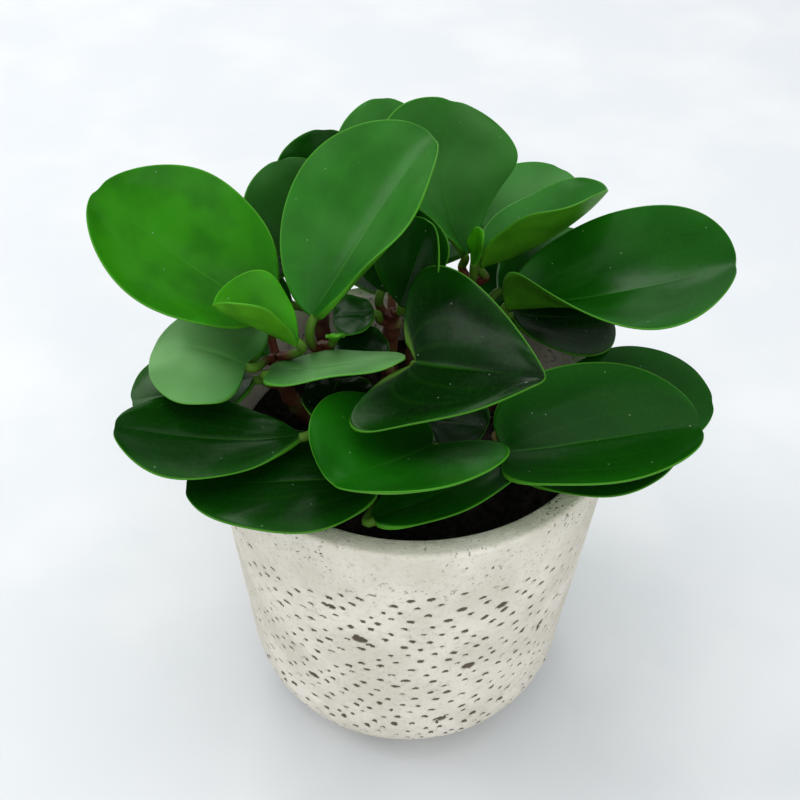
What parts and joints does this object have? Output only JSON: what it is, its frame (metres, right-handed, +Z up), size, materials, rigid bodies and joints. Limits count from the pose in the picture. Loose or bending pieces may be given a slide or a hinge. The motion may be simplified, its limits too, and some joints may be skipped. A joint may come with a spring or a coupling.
{
  "type": "potted house plant",
  "caption": "Round-leaved peperomia in a tapered concrete pot with a plain rim, a pitted wall and rounded foot; the plant stands in its soil.",
  "frame": {"origin": "centre of the pot's flat foot, on the surface it stands on", "axes": "+Z up along the pot's axis, -Y towards the side the plant is seen from, +X to its right"},
  "size_m": [0.2014, 0.1915, 0.2078],
  "materials": {
    "concrete": "matte cast concrete, pitted",
    "soil": "dark loose potting soil",
    "stem": "fleshy reddish-brown stem",
    "leaf": "thick glossy green leaf with a pale margin",
    "young": "young yellow-green leaf, satin"
  },
  "bodies": {
    "root": {"leaf_back_1": "leaf", "leaf_back_2": "leaf", "leaf_back_3": "leaf", "leaf_back_4": "leaf", "leaf_back_left_1": "leaf", "leaf_back_left_2": "leaf", "leaf_back_left_3": "leaf", "leaf_back_left_4": "leaf", "leaf_back_left_5": "leaf", "leaf_back_right_1": "leaf", "leaf_back_right_2": "leaf", "leaf_back_right_3": "leaf", "leaf_back_right_4": "young", "leaf_back_right_5": "leaf", "leaf_back_right_6": "leaf", "leaf_centre_1": "leaf", "leaf_centre_2": "leaf", "leaf_centre_3": "leaf", "leaf_centre_4": "leaf", "leaf_front_1": "leaf", "leaf_front_2": "leaf", "leaf_front_right_1": "leaf", "leaf_front_right_2": "leaf", "leaf_left_1": "leaf", "leaf_left_2": "young", "leaf_left_3": "leaf", "leaf_left_4": "leaf", "leaf_left_5": "leaf", "leaf_left_6": "leaf", "leaf_low_left_1": "leaf", "leaf_low_left_2": "leaf", "leaf_middle_1": "leaf", "leaf_middle_2": "leaf", "leaf_middle_3": "leaf", "leaf_middle_4": "leaf", "leaf_middle_5": "leaf", "leaf_right_1": "leaf", "leaf_right_2": "leaf", "leaf_right_3": "leaf", "leaf_upright_1": "leaf", "leaf_upright_2": "young", "pot": "concrete", "soil": "soil", "stem_back": "stem", "stem_back_left": "stem", "stem_back_right": "stem", "stem_centre": "stem", "stem_front": "stem", "stem_front_right": "stem", "stem_left": "stem", "stem_low_left": "stem", "stem_middle": "stem", "stem_right": "stem", "stem_upright": "stem"}
  },
  "joints": []
}
